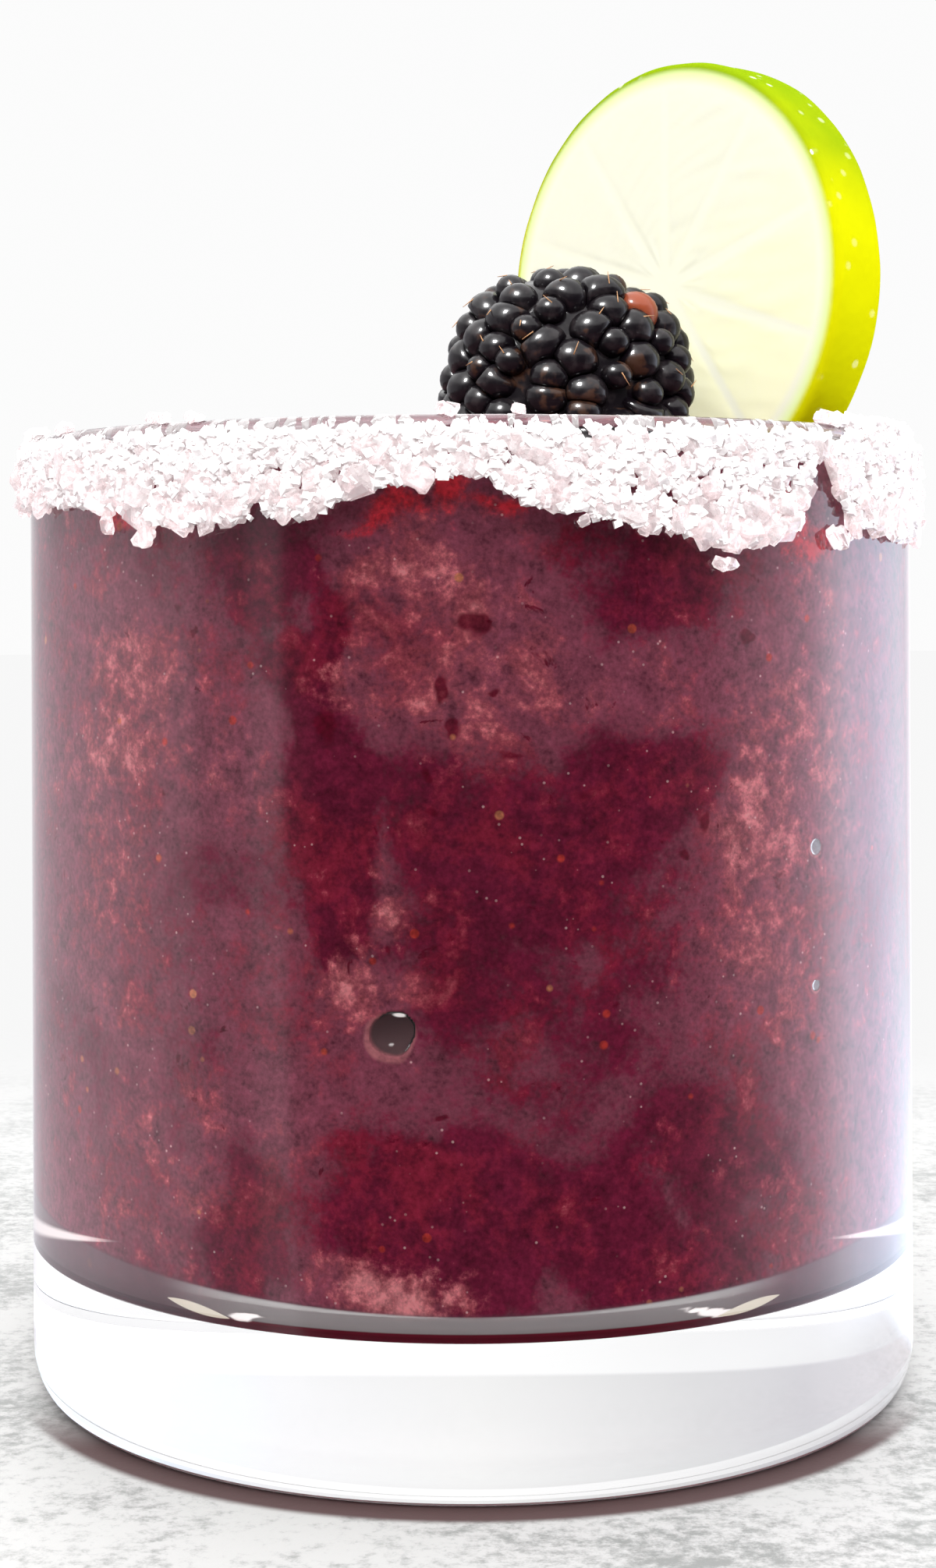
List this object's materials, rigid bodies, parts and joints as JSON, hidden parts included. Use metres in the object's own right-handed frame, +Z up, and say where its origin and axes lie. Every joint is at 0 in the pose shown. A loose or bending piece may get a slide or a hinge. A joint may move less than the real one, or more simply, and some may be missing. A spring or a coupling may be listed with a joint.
{
  "type": "berry margarita in a tumbler",
  "caption": "Frozen dark-berry margarita in a straight thick-based tumbler with a salted rim, an upright lime wheel and a bramble.",
  "frame": {"origin": "centre of the glass's flat underside, on the surface it stands on", "axes": "+Z up along the glass's axis; -Y towards the viewer of the picture; +X to the viewer's right, the side of the lime wheel"},
  "size_m": [0.088, 0.0877, 0.1297],
  "materials": {
    "clear_glass": "clear polished soda-lime glass",
    "berry_slush": "frozen dark-berry slush, plum to maroon, mottled with paler pulp and small bubbles",
    "salt": "coarse translucent white salt crystals",
    "lime": "pale moist lime flesh in a bright green rind",
    "bramble": "glossy near-black drupelets"
  },
  "bodies": {
    "root": {"glass": "clear_glass", "drink": "berry_slush", "salt_rim": "salt", "lime_wheel": "lime", "bramble": "bramble"}
  },
  "joints": []
}
